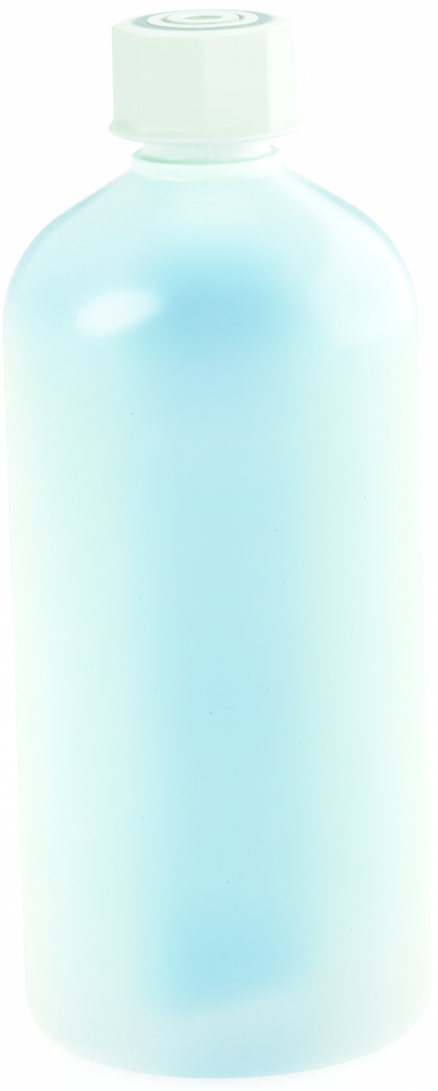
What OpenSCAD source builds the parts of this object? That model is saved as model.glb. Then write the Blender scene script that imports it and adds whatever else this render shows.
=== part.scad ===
// Narrow-mouth reagent bottle, about one litre, with an octagonal screw cap.
// Origin at the centre of the base, on the surface that the bottle stands on. +Z is up.
// All lengths are in millimetres and all angles in degrees.

/* [Body] */
// Outer diameter of the straight wall
body_d = 90; // [88:0.5:92]
// Height at which the straight wall ends and the shoulder begins
wall_top_z = 158.8; // [154:0.2:160]
// Radius of the edge between base and wall
base_edge_r = 10.5; // [9:0.5:12]
// Height of the dome pushed up into the base
push_up_h = 3; // [2:0.5:4]
// Radius of the dome's outline, where the flat standing ring begins
push_up_r = 31; // [28:0.5:31.5]
// Thickness of the wall and the shoulder
wall = 1.4; // [1:0.1:1.6]
// Thickness of the base
base_wall = 2; // [1.6:0.1:2.4]

/* [Shoulder] */
// Radius of the arc between the wall and the cone
shoulder_r = 29; // [27:0.5:30]
// Slope of the cone below the collar, from the horizontal
shoulder_slope = 32.2; // [31:0.2:33]

/* [Neck] */
// Outer diameter of the collar under the cap
collar_d = 32.4; // [31.8:0.2:33]
// Height of the collar's upper face
collar_top_z = 196.4; // [195.6:0.1:197]
// Outer diameter of the neck between the thread's turns
neck_d = 27.4; // [27:0.1:27.6]
// Diameter of the mouth
mouth_d = 23.8; // [22:0.2:24.4]
// Height of the rim
rim_z = 221; // [220.6:0.1:221]

/* [Thread] */
// Rise in one turn
pitch = 4; // [3.6:0.1:4.4]
// Turns of the thread on the neck
neck_turns = 2.5; // [1.5:0.25:2.5]
// Turns of the thread in the cap
cap_turns = 2.25; // [1.5:0.25:2.25]
// Depth of both threads
thread_depth = 1.1; // [0.9:0.05:1.2]

/* [Cap] */
// Diameter across the rounded corners of the grip
grip_d = 39.3; // [39:0.1:39.6]
// Diameter of the eight-sided prism across its sharp corners
grip_prism_d = 39.9; // [39.6:0.1:40.2]
// Diameter of the flat top inside the sloped shoulder
cap_land_d = 32; // [31:0.2:33]
// Slope of the shoulder between the flat top and the grip, from the horizontal
cap_shoulder_slope = 12; // [8:1:16]
// Height of the flange's lower face
flange_z = 201.3; // [201:0.1:202]
// Outer diameter of the flange
flange_d = 41.5; // [41:0.1:43]
// Thickness of the flange
flange_h = 1.6; // [1.2:0.1:2]
// Height of the cap's flat top
cap_top_z = 224.8; // [224.6:0.1:225]
// Diameter of the hollow that goes over the neck
cap_bore_d = 30.2; // [30:0.1:30.4]
// Thickness of the top
cap_roof = 2.4; // [2.2:0.1:2.4]

/* [Top rings] */
// Diameter of the raised disc
disc_d = 23.8; // [22:0.2:25]
// Height of the raised disc above the flat top
disc_h = 0.4; // [0.3:0.05:0.6]
// Height of the middle inside the ring groove above the disc
boss_h = 0.4; // [0:0.05:0.6]
// Outer diameter of the ring groove
groove_d = 17.6; // [16:0.2:18]
// Width of the ring groove
groove_w = 0.9; // [0.6:0.1:1.2]
// Depth of the ring groove below the disc
groove_depth = 0.5; // [0.3:0.05:0.6]
// Diameter of the central recess
recess_d = 9.2; // [8:0.2:10]
// Depth of the central recess below the middle
recess_depth = 0.8; // [0.4:0.1:1]

/* [Liner] */
// Diameter of the sealing disc
liner_d = 28.8; // [27.6:0.2:29.2]
// Thickness of the sealing disc
liner_t = 1.2; // [1:0.1:1.2]

/* [Hidden] */
$fn = 96;

body_r = body_d / 2;
neck_r = neck_d / 2;
mouth_r = mouth_d / 2;
collar_r = collar_d / 2;
cap_bore_r = cap_bore_d / 2;
grip_r = grip_d / 2;
boss_d = groove_d - 2 * groove_w;
edge_round = 0.5;
arc_steps = 10;
thread_steps = 40;
thread_embed = 0.5;
thread_root_w = 2.4;
thread_crest_w = 1;
thread_fade = 40;
neck_thread_z = rim_z - 14;
cap_thread_z = neck_thread_z - pitch / 2;
liner_gap = 0.1;
cut = 1;

shoulder_c = [body_r - shoulder_r, wall_top_z];

// Points along an arc, from one angle to another, with both ends
function arc(centre, r, from, to, steps = arc_steps) =
    [for (i = [0 : steps])
        let (a = from + (to - from) * i / steps)
        centre + r * [cos(a), sin(a)]];

// Height at which the shoulder's cone, at a distance t inside the outer skin, reaches radius r
function cone_z(r, t) =
    let (arc_r = shoulder_r - t)
    let (a = 90 - shoulder_slope)
    shoulder_c.y + arc_r * sin(a) + (shoulder_c.x + arc_r * cos(a) - r) * tan(shoulder_slope);

// The dome's radius of curvature, from its height and its outline
function dome_r(outline_r, h) = (outline_r * outline_r + h * h) / (2 * h);

// The dome's half section, from the axis outwards, raised by lift
function dome(lift) =
    let (r = dome_r(push_up_r, push_up_h))
    let (half = asin(push_up_r / r))
    arc([0, push_up_h - r + lift], r, 90, 90 - half);

function bottle_outside() = concat(
    dome(0),
    arc([body_r - base_edge_r, base_edge_r], base_edge_r, -90, 0),
    arc(shoulder_c, shoulder_r, 0, 90 - shoulder_slope),
    [[collar_r, cone_z(collar_r, 0)]],
    arc([collar_r - edge_round, collar_top_z - edge_round], edge_round, 0, 90, 4),
    [[neck_r, collar_top_z]],
    arc([neck_r - edge_round, rim_z - edge_round], edge_round, 0, 90, 4));

function bottle_inside() = concat(
    dome(base_wall),
    arc([body_r - base_edge_r, base_edge_r + base_wall - wall], base_edge_r - wall, -90, 0),
    arc(shoulder_c, shoulder_r - wall, 0, 90 - shoulder_slope),
    [[mouth_r, cone_z(mouth_r, wall)]],
    arc([mouth_r + edge_round, rim_z - edge_round], edge_round, 180, 90, 4));

function reversed(list) = [for (i = [len(list) - 1 : -1 : 0]) list[i]];

// One cross-section of a thread, as radius and height, with its depth scaled by k
function thread_section(root_r, crest_r, k) =
    let (side = sign(crest_r - root_r))
    let (tip_r = root_r + (crest_r - root_r) * k)
    let (base_r = root_r - side * thread_embed)
    let (points = [
        [base_r, -thread_root_w / 2],
        [tip_r, -thread_crest_w / 2],
        [tip_r, thread_crest_w / 2],
        [base_r, thread_root_w / 2]])
    side > 0 ? points : reversed(points);

// A right-handed helical ridge from root_r to crest_r that fades in and out at its ends
module thread_ridge(root_r, crest_r, start_z, turns) {
    n = round(turns * thread_steps);
    sections = [for (i = [0 : n])
        let (a = 360 * i / thread_steps)
        let (end = 360 * turns)
        let (k = max(0.05, min(1, a / thread_fade, (end - a) / thread_fade)))
        [for (p = thread_section(root_r, crest_r, k))
            [p.x * cos(a), p.x * sin(a), start_z + p.y + pitch * a / 360]]];
    sides = [for (i = [0 : n - 1], j = [0 : 3])
        let (a = 4 * i + j)
        let (b = 4 * i + (j + 1) % 4)
        each [[a, b, a + 4], [b, b + 4, a + 4]]];
    ends = [[3, 2, 1, 0], [4 * n, 4 * n + 1, 4 * n + 2, 4 * n + 3]];
    polyhedron(points = [for (s = sections) each s], faces = concat(sides, ends));
}

// Blown shell: domed base, straight wall, shoulder, collar and threaded neck
module bottle() {
    color([0.78, 0.92, 0.95, 0.6]) {
        rotate_extrude() polygon(concat(bottle_outside(), reversed(bottle_inside())));
        thread_ridge(neck_r, neck_r + thread_depth, neck_thread_z, neck_turns);
    }
}

// Eight-sided grip with rounded corners and a shallow cone as its shoulder
module grip() {
    h = cap_top_z - flange_z;
    cone_h = (grip_prism_d - cap_land_d) / 2 * tan(cap_shoulder_slope);
    intersection() {
        translate([0, 0, flange_z]) cylinder(r = grip_r, h = h);
        translate([0, 0, flange_z]) cylinder(d = grip_prism_d, h = h, $fn = 8);
        union() {
            translate([0, 0, flange_z]) cylinder(d = grip_prism_d, h = h - cone_h);
            translate([0, 0, cap_top_z - cone_h])
                cylinder(d1 = grip_prism_d, d2 = cap_land_d, h = cone_h);
        }
    }
}

// Round flange with a rounded rim
module flange() {
    r = flange_d / 2;
    rim = flange_h / 2;
    rotate_extrude() translate([0, flange_z]) polygon(concat(
        [[0, 0]],
        arc([r - rim, rim], rim, -90, 90, 8),
        [[0, flange_h]]));
}

// What is cut out of the top: the ring groove and the central recess
module top_cuts() {
    top = cap_top_z + disc_h;
    difference() {
        translate([0, 0, top - groove_depth]) cylinder(d = groove_d, h = groove_depth + cut);
        translate([0, 0, top - groove_depth - cut]) cylinder(d = boss_d, h = groove_depth + 3 * cut);
    }
    translate([0, 0, top + boss_h - recess_depth]) cylinder(d = recess_d, h = recess_depth + cut);
}

// Screw cap: octagonal grip, flange, ringed top and the thread inside
module screw_cap() {
    color([0.9, 0.95, 0.9]) {
        difference() {
            union() {
                grip();
                flange();
                translate([0, 0, cap_top_z - cut]) cylinder(d = disc_d, h = disc_h + cut);
                translate([0, 0, cap_top_z - cut]) cylinder(d = boss_d, h = disc_h + boss_h + cut);
            }
            translate([0, 0, flange_z - cut])
                cylinder(r = cap_bore_r, h = cap_top_z - cap_roof - flange_z + cut);
            top_cuts();
        }
        thread_ridge(cap_bore_r, cap_bore_r - thread_depth, cap_thread_z, cap_turns);
    }
}

// Flat sealing disc between the rim and the cap's top
module sealing_liner() {
    color([0.93, 0.94, 0.92])
        translate([0, 0, rim_z + liner_gap]) cylinder(d = liner_d, h = liner_t);
}

bottle();
screw_cap();
sealing_liner();
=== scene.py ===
"""Looks of the reagent bottle: a translucent blown bottle, its screw cap and its sealing liner.

Every length is in metres, in the frame of the CAD model: Z is up and the bottle stands on z = 0.
"""

import math

import bmesh
import bpy
from mathutils import Matrix, Quaternion, Vector, noise


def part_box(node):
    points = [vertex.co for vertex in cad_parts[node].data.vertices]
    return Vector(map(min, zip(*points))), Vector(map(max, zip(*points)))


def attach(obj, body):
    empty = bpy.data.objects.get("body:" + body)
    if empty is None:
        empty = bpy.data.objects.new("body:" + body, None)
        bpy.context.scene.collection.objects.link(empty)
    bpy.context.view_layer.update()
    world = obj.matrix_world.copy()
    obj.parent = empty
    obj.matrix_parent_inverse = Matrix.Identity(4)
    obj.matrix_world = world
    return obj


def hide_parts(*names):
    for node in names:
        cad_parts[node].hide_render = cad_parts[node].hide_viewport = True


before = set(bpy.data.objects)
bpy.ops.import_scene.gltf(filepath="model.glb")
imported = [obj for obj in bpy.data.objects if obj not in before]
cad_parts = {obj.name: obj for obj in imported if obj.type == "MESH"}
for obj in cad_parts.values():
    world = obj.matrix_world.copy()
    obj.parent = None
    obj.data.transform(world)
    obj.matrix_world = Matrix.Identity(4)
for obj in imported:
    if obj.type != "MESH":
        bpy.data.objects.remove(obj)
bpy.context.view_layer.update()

MM = 0.001

# ---------------------------------------------------------------- where the CAD puts things
bottle_low, bottle_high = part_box("bottle")
cap_low, cap_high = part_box("screw_cap")
liner_low, liner_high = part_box("sealing_liner")

BODY_R = bottle_high.x
RIM_Z = bottle_high.z
FLANGE_R = cap_high.x
FLANGE_Z = cap_low.z
CAP_TOP = cap_high.z
LINER_R = liner_high.x

# ---------------------------------------------------------------- sizes of the bottle
SKIN_INSET = 0.08 * MM  # room inside the CAD skin for the seam and the slight waves
WALL_TOP_Z = 158.8 * MM
BASE_EDGE_R = 10.5 * MM
PUSH_UP_H = 3.0 * MM
PUSH_UP_R = 31.0 * MM
WALL = 1.4 * MM
BASE_WALL = 2.0 * MM
SHOULDER_R = 29.0 * MM
SHOULDER_SLOPE = math.radians(32.2)
COLLAR_R = 16.2 * MM
COLLAR_TOP_Z = 196.4 * MM
COLLAR_FILLETS = (1.6 * MM, 1.0 * MM, 1.2 * MM)  # at its foot, its upper edge and the neck
NECK_R = 13.7 * MM
MOUTH_R = 11.9 * MM
MOUTH_FILLET = 2.0 * MM
RIM_ROUND = 0.5 * MM

# ---------------------------------------------------------------- sizes of the threads
PITCH = 4.0 * MM
THREAD_DEPTH = 1.05 * MM
THREAD_ROOT_W = 2.3 * MM
THREAD_CREST_W = 0.9 * MM
THREAD_FADE = math.radians(45)
NECK_THREAD_Z = RIM_Z - 14 * MM
NECK_TURNS = 2.5
CAP_THREAD_Z = NECK_THREAD_Z - PITCH / 2
CAP_TURNS = 2.25

# ---------------------------------------------------------------- sizes of the cap
GRIP_APOTHEM = 18.28 * MM
GRIP_CORNER_R = 2.2 * MM
GRIP_DRAFT = 0.15 * MM
LAND_R = 16.0 * MM
BOSS_H = 0.4 * MM
DISC_Z = CAP_TOP - BOSS_H
LAND_Z = DISC_Z - 0.4 * MM
CAP_SHOULDER_SLOPE = math.radians(12)
FLANGE_CONE_H = 1.2 * MM
FLANGE_H = 1.6 * MM
BORE_R = 15.1 * MM
ROOF_Z = LAND_Z - 2.4 * MM
DISC_R = 11.9 * MM
GROOVE_R = 8.8 * MM
GROOVE_W = 0.9 * MM
GROOVE_DEPTH = 0.5 * MM
RECESS_R = 4.6 * MM
RECESS_DEPTH = 0.8 * MM
BORE_ROUND = 0.6 * MM
BORE_LEAD_IN = 0.5 * MM
GRIP_ROUNDING = (3.0 * MM, 0.8 * MM, 1.2 * MM, 0.15 * MM, 0.2 * MM)
RING_ROUNDING = (0.2 * MM, 0.15 * MM, 0.15 * MM, 0.2 * MM, 0.2 * MM, 0.2 * MM)

# ---------------------------------------------------------------- sizes of the liner
LINER_EDGE = 0.2 * MM
RIM_PRINT_DEPTH = 0.12 * MM


def smooth(t):
    """Smooth step from 0 to 1."""
    t = max(0.0, min(1.0, t))
    return t * t * (3 - 2 * t)


def arc(centre, radius, start, end, steps):
    """Points of an arc in the (r, z) half plane; the angles are in degrees."""
    points = []
    for i in range(steps + 1):
        a = math.radians(start + (end - start) * i / steps)
        points.append((centre[0] + radius * math.cos(a), centre[1] + radius * math.sin(a)))
    return points


def line(start, end, steps):
    """Points after start along a straight line, up to and with end."""
    points = []
    for i in range(1, steps + 1):
        t = i / steps
        points.append((start[0] + (end[0] - start[0]) * t, start[1] + (end[1] - start[1]) * t))
    return points


def fillet(corners, radii, steps):
    """A polyline in the (r, z) half plane whose inner corners are rounded to these radii."""
    points = [corners[0]]
    for i in range(1, len(corners) - 1):
        before = Vector(corners[i - 1])
        here = Vector(corners[i])
        after = Vector(corners[i + 1])
        u = (before - here).normalized()
        v = (after - here).normalized()
        half = math.acos(max(-1.0, min(1.0, u.dot(v)))) / 2
        reach = radii[i - 1] / math.tan(half)
        reach = min(reach, 0.48 * (before - here).length, 0.48 * (after - here).length)
        a = here + u * reach
        b = here + v * reach
        for k in range(steps + 1):
            t = k / steps
            p = a.lerp(here, t).lerp(here.lerp(b, t), t)
            points.append((p.x, p.y))
    points.append(corners[-1])
    return points


def turned_skin(bm, columns, profile_at, closed_start, closed_end):
    """Faces of a surface around Z. profile_at(angle) gives (r, z) points, as many at every angle."""
    grid = [profile_at(a) for a in columns]
    count = len(grid[0])
    first = 1 if closed_start else 0
    last = count - 1 if closed_end else count
    rings = []
    for i in range(first, last):
        ring = []
        for a, profile in zip(columns, grid):
            r, z = profile[i]
            ring.append(bm.verts.new((r * math.cos(a), r * math.sin(a), z)))
        rings.append(ring)
    n = len(columns)
    for low, high in zip(rings, rings[1:]):
        for j in range(n):
            k = (j + 1) % n
            bm.faces.new((low[j], low[k], high[k], high[j]))
    if closed_start:
        pole = bm.verts.new((0, 0, grid[0][0][1]))
        for j in range(n):
            bm.faces.new((pole, rings[0][(j + 1) % n], rings[0][j]))
    if closed_end:
        pole = bm.verts.new((0, 0, grid[0][-1][1]))
        for j in range(n):
            bm.faces.new((pole, rings[-1][j], rings[-1][(j + 1) % n]))


def finished_object(name, bm, sharp_degrees):
    """An object from the mesh, shaded smooth apart from edges sharper than the angle."""
    bmesh.ops.recalc_face_normals(bm, faces=bm.faces)
    limit = math.radians(sharp_degrees)
    for face in bm.faces:
        face.smooth = True
    for edge in bm.edges:
        if edge.is_manifold and edge.calc_face_angle(0) > limit:
            edge.smooth = False
    mesh = bpy.data.meshes.new(name)
    bm.to_mesh(mesh)
    bm.free()
    obj = bpy.data.objects.new(name, mesh)
    bpy.context.scene.collection.objects.link(obj)
    return obj


def thread_height(angle, z, start_z, turns):
    """How far a thread's ridge stands out at this azimuth and height."""
    height = 0.0
    end = 2 * math.pi * turns
    turn = angle % (2 * math.pi)
    while turn <= end:
        off = abs(z - start_z - PITCH * turn / (2 * math.pi))
        flank = (THREAD_ROOT_W / 2 - off) / ((THREAD_ROOT_W - THREAD_CREST_W) / 2)
        fade = smooth(min(turn, end - turn) / THREAD_FADE)
        height = max(height, THREAD_DEPTH * smooth(flank) * fade)
        turn += 2 * math.pi
    return height


# ---------------------------------------------------------------- the bottle
SEAM_ANGLES = (0.0, math.pi)
SEAM_HEIGHT = 0.06 * MM
SEAM_HALF_W = 0.35 * MM
PINCH_HEIGHT = 0.35 * MM
PINCH_HALF_W = 0.6 * MM
PINCH_HALF_L = 26 * MM
WAVE_HEIGHT = 0.035 * MM


def bottle_columns(count):
    """Azimuths around the bottle, closer together beside the two mould seams."""
    angles = [2 * math.pi * i / count for i in range(count)]
    step = 360 / count
    for seam in SEAM_ANGLES:
        for offset in (0.15, 0.3, 0.45, 0.6, 0.8, 1.0, 1.25, 1.5 * step, 2.5 * step):
            for side in (-1, 1):
                angles.append((seam + side * math.radians(offset)) % (2 * math.pi))
    return sorted(set(round(a, 6) for a in angles))


def shoulder_cone_z(r, inset):
    """Height at which the shoulder's cone, this far inside the outer skin, reaches radius r."""
    a = math.pi / 2 - SHOULDER_SLOPE
    arc_r = SHOULDER_R - inset
    cone_start_r = BODY_R - SHOULDER_R + arc_r * math.cos(a)
    cone_start_z = WALL_TOP_Z + arc_r * math.sin(a)
    return cone_start_z + (cone_start_r - r) * math.tan(SHOULDER_SLOPE)


def dome(lift, steps):
    """The pushed-up base from the axis outwards, raised by lift."""
    r = (PUSH_UP_R ** 2 + PUSH_UP_H ** 2) / (2 * PUSH_UP_H)
    half = math.degrees(math.asin(PUSH_UP_R / r))
    return arc((0, PUSH_UP_H - r + lift), r, 90, 90 - half, steps)


def outer_profile():
    """The bottle's outer half section, from the axis under the base up to the rim."""
    body_r = BODY_R - SKIN_INSET
    points = dome(0, 40)
    points += arc((body_r - BASE_EDGE_R, BASE_EDGE_R), BASE_EDGE_R, -90, 0, 28)
    points += line(points[-1], (body_r, WALL_TOP_Z), 64)
    cone_angle = 90 - math.degrees(SHOULDER_SLOPE)
    points += arc((body_r - SHOULDER_R, WALL_TOP_Z), SHOULDER_R, 0, cone_angle, 44)[1:]
    cone_end = shoulder_cone_z(COLLAR_R, 0)
    near_collar = Vector(points[-1]).lerp(Vector((COLLAR_R, cone_end)), 0.7)
    points += line(points[-1], tuple(near_collar), 10)
    edges = [
        points[-1],
        (COLLAR_R, cone_end),
        (COLLAR_R, COLLAR_TOP_Z),
        (NECK_R, COLLAR_TOP_Z),
        (NECK_R, COLLAR_TOP_Z + 3.4 * MM),
    ]
    points += fillet(edges, COLLAR_FILLETS, 7)[1:]
    points += line(points[-1], (NECK_R, RIM_Z - RIM_ROUND), 84)
    points += arc((NECK_R - RIM_ROUND, RIM_Z - RIM_ROUND), RIM_ROUND, 0, 90, 6)[1:]
    return points


def inner_profile():
    """The bottle's inner half section, from the rim down to the axis above the base."""
    points = arc((MOUTH_R + RIM_ROUND, RIM_Z - RIM_ROUND), RIM_ROUND, 90, 180, 6)
    cone_end = shoulder_cone_z(MOUTH_R, WALL)
    arc_r = SHOULDER_R - WALL
    centre = (BODY_R - SHOULDER_R, WALL_TOP_Z)
    shoulder = arc(centre, arc_r, 90 - math.degrees(SHOULDER_SLOPE), 0, 44)
    points += line(points[-1], (MOUTH_R, cone_end + 4 * MM), 14)
    points += fillet([points[-1], (MOUTH_R, cone_end), shoulder[0]], (MOUTH_FILLET,), 6)[1:]
    points += shoulder[1:]
    floor_z = BASE_EDGE_R + BASE_WALL - WALL
    points += line(points[-1], (BODY_R - WALL, floor_z), 40)
    points += arc((BODY_R - BASE_EDGE_R, floor_z), BASE_EDGE_R - WALL, 0, -90, 20)[1:]
    points += reversed(dome(BASE_WALL, 30))
    return points


def seam_rise(angle, r):
    """Height of the mould seam at this azimuth, on a skin of this radius."""
    off = min(abs((angle - s + math.pi) % (2 * math.pi) - math.pi) for s in SEAM_ANGLES) * r
    return SEAM_HEIGHT * smooth(1 - off / SEAM_HALF_W)


def skin_wave(angle, z):
    """Slight unevenness of the blown skin, at most zero."""
    p = Vector((math.cos(angle) * 2.2, math.sin(angle) * 2.2, z / (34 * MM)))
    return WAVE_HEIGHT * (noise.noise(p) - 1) / 2


def pinch_drop(angle, r):
    """How far the pinched seam stands down from the dome of the base."""
    x = abs(r * math.cos(angle))
    y = abs(r * math.sin(angle))
    return PINCH_HEIGHT * smooth(1 - y / PINCH_HALF_W) * smooth((PINCH_HALF_L - x) / (4 * MM))


def bottle_shell():
    """The blown shell, with its seams, its pinched base and the thread on its neck."""
    outer = outer_profile()
    inner = inner_profile()
    low_r = PUSH_UP_R - 1 * MM

    def profile_at(angle):
        points = []
        for r, z in outer:
            if z < PUSH_UP_H + MM and r < low_r:
                points.append((r, z - pinch_drop(angle, r)))
            elif z <= COLLAR_TOP_Z and r > COLLAR_R + 2 * MM:
                fade = smooth((r - COLLAR_R - 2 * MM) / (4 * MM)) * smooth((z - 1 * MM) / (4 * MM))
                points.append((r + fade * (seam_rise(angle, r) + skin_wave(angle, z)), z))
            elif z > COLLAR_TOP_Z + 2 * MM and r > NECK_R - 0.1 * MM:
                points.append((r + thread_height(angle, z, NECK_THREAD_Z, NECK_TURNS), z))
            else:
                points.append((r, z))
        return points + inner

    bm = bmesh.new()
    turned_skin(bm, bottle_columns(256), profile_at, True, True)
    return finished_object("bottle_shell", bm, 50)


# ---------------------------------------------------------------- the cap
def cap_columns(per_face):
    """Azimuths around the cap, closer together at the eight corners of the grip."""
    angles = []
    for corner in range(8):
        middle = corner * math.pi / 4
        for i in range(per_face):
            t = 2 * i / per_face - 1
            bent = (0.32 * t + 0.68 * t ** 3) * math.pi / 8
            angles.append(middle + bent)
    return sorted(a % (2 * math.pi) for a in angles)


def grip_radius(angle, apothem):
    """Radius of the eight-sided grip with rounded corners, at this azimuth."""
    eighth = math.pi / 8
    off = abs((angle + eighth) % (math.pi / 4) - eighth)
    centre = (apothem - GRIP_CORNER_R) / math.cos(eighth)
    across = GRIP_CORNER_R * math.sin(eighth)
    tangent = math.atan2(across, centre + GRIP_CORNER_R * math.cos(eighth))
    if off > tangent:
        return apothem / math.cos(eighth - off)
    return centre * math.cos(off) + math.sqrt(GRIP_CORNER_R ** 2 - (centre * math.sin(off)) ** 2)


def cap_shell():
    """The moulded cap: flange, grip, ringed top and threaded bore."""
    rim = FLANGE_H / 2
    flange_top = FLANGE_Z + FLANGE_H

    def profile_at(angle):
        low_r = grip_radius(angle, GRIP_APOTHEM)
        high_r = grip_radius(angle, GRIP_APOTHEM - GRIP_DRAFT)
        edge_z = LAND_Z - (high_r - LAND_R) * math.tan(CAP_SHOULDER_SLOPE)
        points = []
        # roof of the bore, outwards from the axis, then down the threaded wall
        roof_r = BORE_R - BORE_ROUND
        points += [(0, ROOF_Z)] + line((0, ROOF_Z), (roof_r, ROOF_Z), 10)
        points += arc((roof_r, ROOF_Z - BORE_ROUND), BORE_ROUND, 90, 0, 5)[1:]
        for r, z in line(points[-1], (BORE_R, FLANGE_Z + BORE_LEAD_IN), 84):
            points.append((r - thread_height(angle, z, CAP_THREAD_Z, CAP_TURNS), z))
        # lower face and rounded rim of the flange
        lead_in = (BORE_R + BORE_LEAD_IN, FLANGE_Z + BORE_LEAD_IN)
        points += arc(lead_in, BORE_LEAD_IN, 180, 270, 4)[1:]
        points += line(points[-1], (FLANGE_R - rim, FLANGE_Z), 6)
        points += arc((FLANGE_R - rim, FLANGE_Z + rim), rim, -90, 55, 10)[1:]
        # cone above the flange, grip, sloped shoulder, flat top, raised disc
        edges = [
            points[-1],
            (low_r, flange_top + FLANGE_CONE_H),
            (high_r, edge_z),
            (LAND_R, LAND_Z),
            (DISC_R, LAND_Z),
            (DISC_R - 0.1 * MM, DISC_Z),
            (GROOVE_R, DISC_Z),
        ]
        sides = fillet(edges, GRIP_ROUNDING, 6)
        points += sides[1:8]
        tall = line(points[-1], sides[8], 12)
        points += tall[:-1]
        points += sides[8:-1]
        # ring groove and central recess
        inner_r = GROOVE_R - GROOVE_W
        groove_z = DISC_Z - GROOVE_DEPTH
        recess_z = CAP_TOP - RECESS_DEPTH
        rings = [
            (GROOVE_R + 1.0 * MM, DISC_Z),
            (GROOVE_R, DISC_Z),
            (GROOVE_R - 0.12 * MM, groove_z),
            (inner_r + 0.12 * MM, groove_z),
            (inner_r - 0.2 * MM, CAP_TOP - 0.12 * MM),
            (RECESS_R, CAP_TOP),
            (RECESS_R - 0.15 * MM, recess_z),
            (0, recess_z),
        ]
        points += fillet(rings, RING_ROUNDING, 4)
        return points

    bm = bmesh.new()
    turned_skin(bm, cap_columns(36), profile_at, True, True)
    return finished_object("cap_shell", bm, 40)


# ---------------------------------------------------------------- the liner
def liner_disc():
    """The sealing disc, with the print of the bottle's rim in its lower face."""
    low = liner_low.z
    high = liner_high.z
    bottom = [(0, low)]
    for i in range(1, 41):
        r = (LINER_R - LINER_EDGE) * i / 40
        inside = smooth((r - MOUTH_R + 0.5 * MM) / (0.6 * MM))
        outside = smooth((NECK_R + 0.5 * MM - r) / (0.6 * MM))
        bottom.append((r, low + RIM_PRINT_DEPTH * inside * outside))
    points = bottom + arc((LINER_R - LINER_EDGE, low + LINER_EDGE), LINER_EDGE, -90, 0, 4)[1:]
    points += arc((LINER_R - LINER_EDGE, high - LINER_EDGE), LINER_EDGE, 0, 90, 4)
    points += line(points[-1], (0, high), 12)
    bm = bmesh.new()
    columns = [2 * math.pi * i / 128 for i in range(128)]
    turned_skin(bm, columns, lambda angle: points, True, True)
    return finished_object("liner_disc", bm, 40)


# ---------------------------------------------------------------- materials
def new_material(name):
    """A material whose nodes are only a Principled shader and its output."""
    material = bpy.data.materials.new(name)
    material.use_nodes = True
    nodes = material.node_tree.nodes
    nodes.clear()
    shader = nodes.new("ShaderNodeBsdfPrincipled")
    output = nodes.new("ShaderNodeOutputMaterial")
    material.node_tree.links.new(shader.outputs["BSDF"], output.inputs["Surface"])
    return material, shader


class Graph:
    """Short names for making and linking the nodes of one material."""

    def __init__(self, material):
        self.tree = material.node_tree
        self.coords = self.tree.nodes.new("ShaderNodeTexCoord")

    def link(self, source, target):
        self.tree.links.new(source, target)

    def noise(self, scale, detail):
        """A noise texture in object space; scale is in features per metre."""
        node = self.tree.nodes.new("ShaderNodeTexNoise")
        node.inputs["Scale"].default_value = scale
        node.inputs["Detail"].default_value = detail
        node.inputs["Roughness"].default_value = 0.55
        self.link(self.coords.outputs["Object"], node.inputs["Vector"])
        return node.outputs["Fac"]

    def remap(self, value, low, high, to_low, to_high, kind="LINEAR"):
        """A value's range, mapped and clamped to another."""
        node = self.tree.nodes.new("ShaderNodeMapRange")
        node.interpolation_type = kind
        node.inputs["From Min"].default_value = low
        node.inputs["From Max"].default_value = high
        node.inputs["To Min"].default_value = to_low
        node.inputs["To Max"].default_value = to_high
        self.link(value, node.inputs["Value"])
        return node.outputs["Result"]

    def ramp(self, value, stops):
        """A colour ramp over the value; stops are (position, colour)."""
        node = self.tree.nodes.new("ShaderNodeValToRGB")
        band = node.color_ramp
        while len(band.elements) < len(stops):
            band.elements.new(0.5)
        for element, (position, colour) in zip(band.elements, stops):
            element.position = position
            element.color = (*colour, 1)
        self.link(value, node.inputs["Fac"])
        return node.outputs["Color"]

    def mix(self, factor, a, b, blend="MIX"):
        """Two colours mixed; each may be a socket or a constant colour."""
        node = self.tree.nodes.new("ShaderNodeMix")
        node.data_type = "RGBA"
        node.blend_type = blend
        for value, target in ((factor, node.inputs[0]), (a, node.inputs[6]), (b, node.inputs[7])):
            if isinstance(value, bpy.types.NodeSocket):
                self.link(value, target)
            elif isinstance(value, tuple):
                target.default_value = (*value, 1)
            else:
                target.default_value = value
        return node.outputs[2]

    def xyz(self):
        """The object's three coordinates, in metres."""
        node = self.tree.nodes.new("ShaderNodeSeparateXYZ")
        self.link(self.coords.outputs["Object"], node.inputs["Vector"])
        return node.outputs["X"], node.outputs["Y"], node.outputs["Z"]

    def math(self, operation, a, b=0.0):
        """One arithmetic step; each side may be a socket or a number."""
        node = self.tree.nodes.new("ShaderNodeMath")
        node.operation = operation
        for value, target in ((a, node.inputs[0]), (b, node.inputs[1])):
            if isinstance(value, bpy.types.NodeSocket):
                self.link(value, target)
            else:
                target.default_value = value
        return node.outputs["Value"]

    def bump(self, value, strength, distance, normal=None):
        """A bump from the value; distance is in metres."""
        node = self.tree.nodes.new("ShaderNodeBump")
        node.inputs["Strength"].default_value = strength
        node.inputs["Distance"].default_value = distance
        self.link(value, node.inputs["Height"])
        if normal is not None:
            self.link(normal, node.inputs["Normal"])
        return node.outputs["Normal"]


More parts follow.
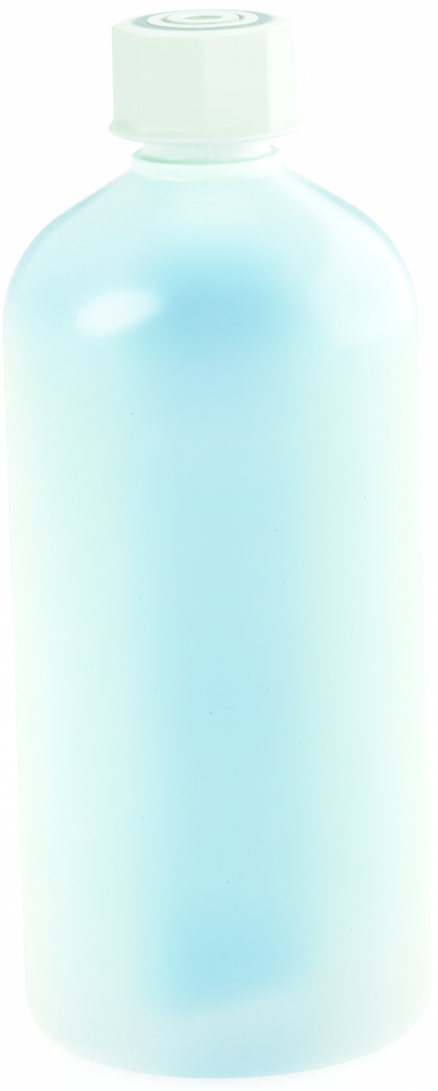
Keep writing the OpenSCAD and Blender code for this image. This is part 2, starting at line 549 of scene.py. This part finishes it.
# Colours of the bottle's plastic at heights in millimetres, partly its pale cyan and partly painted
# light and shade:
# at the sides, where the mould parts, and in the middle of the front and the back, painted darker as
# shade.
SIDE_TONES = [
    (10, (0.53, 0.68, 0.64)),  # heel
    (25, (0.50, 0.70, 0.67)),  # foot of the wall
    (45, (0.47, 0.72, 0.67)),  # wall
    (150, (0.45, 0.71, 0.66)),  # top of the wall
    (162, (0.45, 0.72, 0.72)),  # start of the shoulder
    (170, (0.43, 0.69, 0.72)),  # round of the shoulder, painted shade
    (183, (0.53, 0.80, 0.81)),  # cone
    (188, (0.55, 0.82, 0.81)),  # end of the cone
    (192.5, (0.61, 0.89, 0.82)),  # collar's foot
    (196, (0.76, 0.95, 0.83)),  # collar's upper edge, painted lighter against the cap's shade
    (199, (0.86, 1.00, 0.91)),  # neck, paler plastic and painted lighter against the cap's shade
]
MIDDLE_TONES_WITH_PAINTED_SHADE = [
    (3, (0.40, 0.61, 0.66)),  # edge of the base
    (14, (0.50, 0.70, 0.74)),  # paler heel, from here
    (18, (0.49, 0.70, 0.74)),  # to here
    (22, (0.38, 0.64, 0.73)),  # where it ends
    (25, (0.33, 0.63, 0.74)),  # painted shade above the heel, from here
    (30, (0.31, 0.63, 0.74)),  # to here
    (47, (0.38, 0.67, 0.76)),  # wall
    (130, (0.38, 0.66, 0.76)),  # top of the wall, from here
    (143, (0.40, 0.66, 0.76)),  # to here
    (160, (0.32, 0.60, 0.71)),  # start of the shoulder
    (167, (0.26, 0.57, 0.69)),  # painted shade round the shoulder, from here
    (172, (0.26, 0.57, 0.70)),  # to here
    (178, (0.34, 0.66, 0.81)),  # cone
    (182, (0.44, 0.76, 0.85)),  # paler cone
    (186, (0.60, 0.93, 0.93)),  # end of the cone
    (190, (0.65, 0.96, 0.92)),  # collar's foot
    (193, (0.66, 0.94, 0.83)),  # collar
    (196, (0.76, 0.96, 0.83)),  # collar's upper edge, painted lighter against the cap's shade
    (199, (0.88, 1.00, 0.91)),  # neck, paler plastic and painted lighter against the cap's shade
]
TONE_SPAN = 200.0
MIDDLE_FROM = 0.74
MIDDLE_TO = 1.02
HEEL_TILT = 0.16
HEEL_WAVE = 1.5 * MM
HEEL_REACH = (24 * MM, 36 * MM)
SEAM_SHARE = 0.10
# painted shade of the shoulder's outline, along the parting line
SHOULDER_OUTLINE_PAINTED_SHADE = (0.29, 0.54, 0.60)
SEAM_START = (150 * MM, 172 * MM)
SEAM_END = (186 * MM, 193 * MM)
# painted warm light at the sides, below the shoulder
EDGE_SHARE = 0.5
SIDE_PAINTED_WARM_LIGHT = (1.06, 0.97, 0.79)
CLOUD_TONE = (0.58, 0.78, 0.80)
MOTTLE_TONE = (0.38, 0.62, 0.69)
SPECK_TONE = (0.16, 0.26, 0.28)
CAP_TONES = ((0.512, 0.645, 0.525), (0.545, 0.673, 0.56))
# painted light on the cap's top and flange; painted shade round its disc and in its groove and
# recess
CAP_TOP_PAINTED_LIGHT_TONE = (0.70, 0.84, 0.72)
CAP_LAND_PAINTED_SHADE_TONE = (0.36, 0.48, 0.46)
CAP_FLANGE_PAINTED_LIGHT_TINT = (1.01, 1.02, 1.08)
CAP_HOLLOW_PAINTED_SHADE_TONE = (0.47, 0.57, 0.50)
CAP_SPECK_TONE = (0.45, 0.55, 0.52)
FOAM_TONES = ((0.74, 0.75, 0.73), (0.86, 0.87, 0.85))


def bottle_plastic():
    """Milky, pale cyan, translucent polyethylene."""
    material, shader = new_material("bottle_plastic")
    g = Graph(material)
    x, y, z = g.xyz()
    # painted shade of the hollow seen through the wall, ending above the heel in a tilted, slightly
    # wavy line
    heel = g.remap(z, *HEEL_REACH, 1, 0)
    wave = g.remap(g.noise(38, 2), 0.3, 0.7, -HEEL_WAVE, HEEL_WAVE)
    lean = g.math("ADD", g.math("MULTIPLY", x, HEEL_TILT), wave)
    height = g.math("SUBTRACT", z, g.math("MULTIPLY", lean, heel))
    level = g.remap(height, 0, TONE_SPAN * MM, 0, 1)
    # how much of the way out from the axis is towards the front or the back: 0 at the mould seams
    yy = g.math("MULTIPLY", y, y)
    xx = g.math("MULTIPLY", x, x)
    share = g.math("DIVIDE", yy, g.math("ADD", g.math("ADD", xx, yy), 1e-9))
    # painted shade: the middle of the front and the back takes the darker tones
    middle = g.remap(share, MIDDLE_FROM, MIDDLE_TO, 0, 1, "SMOOTHSTEP")
    sides = g.ramp(level, [(h / TONE_SPAN, c) for h, c in SIDE_TONES])
    front_tones_with_painted_shade = g.ramp(level, [(h / TONE_SPAN, c) for h, c in MIDDLE_TONES_WITH_PAINTED_SHADE])
    tone = g.mix(middle, sides, front_tones_with_painted_shade)
    # painted shade along the mould's parting line over the shoulder: the darker outline of the
    # shoulder at the sides
    near_seam = g.remap(share, 0.0, SEAM_SHARE, 1, 0, "SMOOTHSTEP")
    rising = g.remap(z, *SEAM_START, 0, 1, "SMOOTHSTEP")
    ending = g.remap(z, *SEAM_END, 1, 0, "SMOOTHSTEP")
    outline_painted_shade = g.math("MULTIPLY", near_seam, g.math("MULTIPLY", rising, ending))
    tone = g.mix(outline_painted_shade, tone, SHOULDER_OUTLINE_PAINTED_SHADE)
    # painted warm light of the lit sides, creamier towards the parting line, up to the shoulder
    below = g.math("SUBTRACT", 1, rising)
    edge = g.math("MULTIPLY", g.remap(share, 0.0, EDGE_SHARE, 1, 0, "SMOOTHSTEP"), below)
    tone = g.mix(edge, tone, SIDE_PAINTED_WARM_LIGHT, "MULTIPLY")
    # clouds, a fine mottle and a few dust specks
    cloud = g.remap(g.noise(30, 4), 0.35, 0.7, 0, 0.12)
    colour = g.mix(cloud, tone, CLOUD_TONE)
    mottle = g.remap(g.noise(1700, 2), 0.3, 0.7, 0, 0.18)
    colour = g.mix(mottle, colour, MOTTLE_TONE)
    speck = g.remap(g.noise(900, 0), 0.865, 0.885, 0, 0.4)
    colour = g.mix(speck, colour, SPECK_TONE)
    g.link(colour, shader.inputs["Base Color"])
    haze = g.noise(60, 4)
    g.link(g.remap(haze, 0.3, 0.7, 0.20, 0.27), shader.inputs["Roughness"])
    orange_peel = g.bump(g.noise(420, 2), 0.18, 0.00006)
    grain = g.bump(g.noise(2600, 2), 0.12, 0.00002, orange_peel)
    g.link(grain, shader.inputs["Normal"])
    shader.inputs["IOR"].default_value = 1.52
    shader.inputs["Subsurface Weight"].default_value = 1.0
    shader.inputs["Subsurface Radius"].default_value = (0.6, 1.0, 1.1)
    shader.inputs["Subsurface Scale"].default_value = 0.0015
    return material


def cap_plastic():
    """Off-white moulded polypropylene with a fine texture, painted lighter on its top and flange and
    painted darker round its disc and in the hollows of its top.
    """
    material, shader = new_material("cap_plastic")
    g = Graph(material)
    x, y, z = g.xyz()
    radius = g.math("SQRT", g.math("ADD", g.math("MULTIPLY", x, x), g.math("MULTIPLY", y, y)))
    cloud = g.noise(45, 4)
    plain = g.ramp(cloud, [(0.3, CAP_TONES[0]), (0.7, CAP_TONES[1])])
    # painted light: the flange and the foot of the grip are lifted lighter and bluer against their
    # shade
    flange = g.remap(z, FLANGE_Z + 1.6 * MM, FLANGE_Z + 3.2 * MM, 1, 0, "SMOOTHSTEP")
    plain = g.mix(flange, plain, CAP_FLANGE_PAINTED_LIGHT_TINT, "MULTIPLY")
    # painted light on the whole top, with the disc and its rings; painted shade on the flat top
    # round the disc
    top = g.remap(z, LAND_Z - 1.0 * MM, LAND_Z - 0.3 * MM, 0, 1, "SMOOTHSTEP")
    disc = g.remap(z, DISC_Z - 0.25 * MM, DISC_Z - 0.05 * MM, 0, 1)
    in_land = g.remap(radius, DISC_R + 2.2 * MM, DISC_R + 4.4 * MM, 1, 0, "SMOOTHSTEP")
    land_painted_shade = g.math("MULTIPLY", g.math("MULTIPLY", top, in_land), g.math("SUBTRACT", 1, disc))
    top_painted_light = g.mix(top, plain, CAP_TOP_PAINTED_LIGHT_TONE)
    cap_top_painted_tones = g.mix(land_painted_shade, top_painted_light, CAP_LAND_PAINTED_SHADE_TONE)
    # painted shade in the ring groove and the central recess
    inner_r = GROOVE_R - GROOVE_W
    groove_in = g.remap(radius, inner_r - 0.8 * MM, inner_r - 0.2 * MM, 0, 1)
    groove_out = g.remap(radius, GROOVE_R + 0.2 * MM, GROOVE_R + 0.7 * MM, 1, 0)
    recess = g.remap(radius, RECESS_R - 0.3 * MM, RECESS_R + 0.1 * MM, 0.75, 0)
    hollow_painted_shade = g.math("MAXIMUM", recess, g.math("MULTIPLY", groove_in, groove_out))
    cap_top_painted_tones = g.mix(g.math("MULTIPLY", top, hollow_painted_shade), cap_top_painted_tones, CAP_HOLLOW_PAINTED_SHADE_TONE)
    speck = g.remap(g.noise(700, 1), 0.74, 0.78, 0, 0.5)
    g.link(g.mix(speck, cap_top_painted_tones, CAP_SPECK_TONE), shader.inputs["Base Color"])
    g.link(g.remap(g.noise(90, 3), 0.3, 0.7, 0.42, 0.55), shader.inputs["Roughness"])
    grain = g.bump(g.noise(3200, 2), 0.25, 0.00003)
    g.link(grain, shader.inputs["Normal"])
    shader.inputs["IOR"].default_value = 1.5
    shader.inputs["Subsurface Weight"].default_value = 0.4
    shader.inputs["Subsurface Radius"].default_value = (1.0, 1.0, 1.0)
    shader.inputs["Subsurface Scale"].default_value = 0.0015
    return material


def liner_foam():
    """White foamed polyethylene with open cells on its faces."""
    material, shader = new_material("liner_foam")
    g = Graph(material)
    cells = g.noise(1500, 4)
    tone = g.ramp(cells, [(0.3, FOAM_TONES[0]), (0.7, FOAM_TONES[1])])
    g.link(tone, shader.inputs["Base Color"])
    g.link(g.remap(cells, 0.3, 0.7, 0.75, 0.9), shader.inputs["Roughness"])
    g.link(g.bump(cells, 0.6, 0.00012), shader.inputs["Normal"])
    return material


# ---------------------------------------------------------------- stage, lights and camera
# The camera stands where the outline of the bottle matches the photograph.
CAMERA_DISTANCE = 1.400
CAMERA_ELEVATION = math.radians(13.238)
CAMERA_ROLL = math.radians(1.555)
CAMERA_AIM = Vector((0, 0, 0.110))
CAMERA_OFFSET = Vector((0.0005, -0.000285, 0))
FOCAL_PER_HEIGHT = 5.9058  # focal length over the frame's height
SENSOR_LONG_SIDE = 36.0
# Light in, tone out: straight up to 0.7, then a soft shoulder.
FILM_POINTS = (
    (0.2, 0.2),
    (0.4, 0.4),
    (0.6, 0.6),
    (0.7, 0.7),
    (0.85, 0.83),
    (1.0, 0.90),
    (1.2, 0.96),
    (1.3, 0.985),
    (1.5, 0.997),
)
FLOOR_HALF = 12.0
FLOOR_GLOW = 0.70
FLOOR_DROP = 0.2 * MM
SKY = 1.0
WARM = (1, 1, 0.9)


def add_camera():
    """The camera of the reference view, with the bottle's top leaning slightly to the left."""
    data = bpy.data.cameras.new("camera")
    data.sensor_width = SENSOR_LONG_SIDE
    data.lens = FOCAL_PER_HEIGHT * SENSOR_LONG_SIDE
    data.clip_start = 0.05
    data.clip_end = 50
    camera = bpy.data.objects.new("camera", data)
    bpy.context.scene.collection.objects.link(camera)
    turn = Matrix.Rotation(math.pi / 2 - CAMERA_ELEVATION, 4, "X")
    turn = turn @ Matrix.Rotation(-CAMERA_ROLL, 4, "Z")
    place = turn @ (CAMERA_OFFSET + Vector((0, 0, CAMERA_DISTANCE)))
    camera.matrix_world = Matrix.Translation(CAMERA_AIM + place) @ turn
    bpy.context.scene.camera = camera


def add_floor():
    """A plain pale floor."""
    bm = bmesh.new()
    bmesh.ops.create_grid(bm, x_segments=8, y_segments=8, size=FLOOR_HALF)
    floor = finished_object("floor", bm, 30)
    floor.location.z = -FLOOR_DROP
    material, shader = new_material("floor_glow")
    shader.inputs["Base Color"].default_value = (0.6, 0.6, 0.6, 1)
    shader.inputs["Roughness"].default_value = 0.9
    shader.inputs["Specular IOR Level"].default_value = 0.0
    shader.inputs["Emission Color"].default_value = (1, 1, 1, 1)
    shader.inputs["Emission Strength"].default_value = FLOOR_GLOW
    floor.data.materials.append(material)


def add_softbox(name, azimuth, elevation, distance, size, watts, reflects=False, colour=(1, 1, 1),
                roll=0, aim_z=0.13, spread=180, shape="RECTANGLE"):
    """An area light that only lights the plastic or, if it reflects, only shows in its gloss.

    Azimuth is from the camera's side, positive to its right, in degrees.
    """
    data = bpy.data.lights.new(name, "AREA")
    data.shape = shape
    data.spread = math.radians(spread)
    data.size, data.size_y = size
    data.energy = watts
    data.color = colour
    light = bpy.data.objects.new(name, data)
    bpy.context.scene.collection.objects.link(light)
    az = math.radians(azimuth)
    el = math.radians(elevation)
    away = Vector((math.sin(az) * math.cos(el), -math.cos(az) * math.cos(el), math.sin(el)))
    light.location = Vector((0, 0, aim_z)) + away * distance
    turn = away.to_track_quat("Z", "Y") @ Quaternion((0, 0, 1), math.radians(roll))
    light.rotation_euler = turn.to_euler()
    light.visible_glossy = reflects
    light.visible_diffuse = not reflects


def add_lights():
    """A white world and soft lights at both sides, brighter on the right."""
    world = bpy.data.worlds.new("world")
    bpy.context.scene.world = world
    world.use_nodes = True
    background = world.node_tree.nodes["Background"]
    background.inputs["Color"].default_value = (1, 1, 1, 1)
    background.inputs["Strength"].default_value = SKY
    # beams low on the wall at both sides
    low = {"colour": WARM, "aim_z": 0.075, "spread": 14}
    add_softbox("left_panel", -98, 0, 1.2, (0.35, 0.12), 0.13, **low)
    add_softbox("right_panel", 112, 0, 1.2, (0.35, 0.12), 0.09, **low)
    add_softbox("left_fill", -85, 30, 1.2, (0.6, 0.6), 2.2)
    add_softbox("right_fill", 105, 14, 1.2, (0.8, 0.8), 6.5, colour=WARM)
    # a broad beam on the upper half and a narrow one on the cap
    add_softbox("top_light", 34, 30, 1.0, (0.3, 0.2), 0.06, aim_z=0.215, spread=24)
    add_softbox("cap_light", 36, 24, 1.0, (0.05, 0.03), 0.003, aim_z=0.218, spread=6)
    # the two highlights on the shoulder
    add_softbox("left_key", -58, 28, 1.0, (0.92, 0.50), 8.5, reflects=True, roll=42, shape="ELLIPSE")
    add_softbox("right_key", 108, 16, 1.0, (1.8, 1.1), 18, reflects=True)


def set_film(view):
    """A plain film response: straight up to light tones, with a soft shoulder above them."""
    view.view_transform = "Standard"
    view.look = "None"
    view.use_curve_mapping = True
    view.curve_mapping.white_level = (2, 2, 2)
    curve = view.curve_mapping.curves[3]
    for x, y in FILM_POINTS:
        curve.points.new(x / 2, y)
    view.curve_mapping.update()


# ---------------------------------------------------------------- put together
scene = bpy.context.scene
set_film(scene.view_settings)

shell = bottle_shell()
shell.data.materials.append(bottle_plastic())
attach(shell, "bottle")
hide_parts("bottle")

cap = cap_shell()
cap.data.materials.append(cap_plastic())
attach(cap, "cap")
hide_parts("screw_cap")

liner = liner_disc()
liner.data.materials.append(liner_foam())
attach(liner, "liner")
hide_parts("sealing_liner")

add_floor()
add_lights()
add_camera()
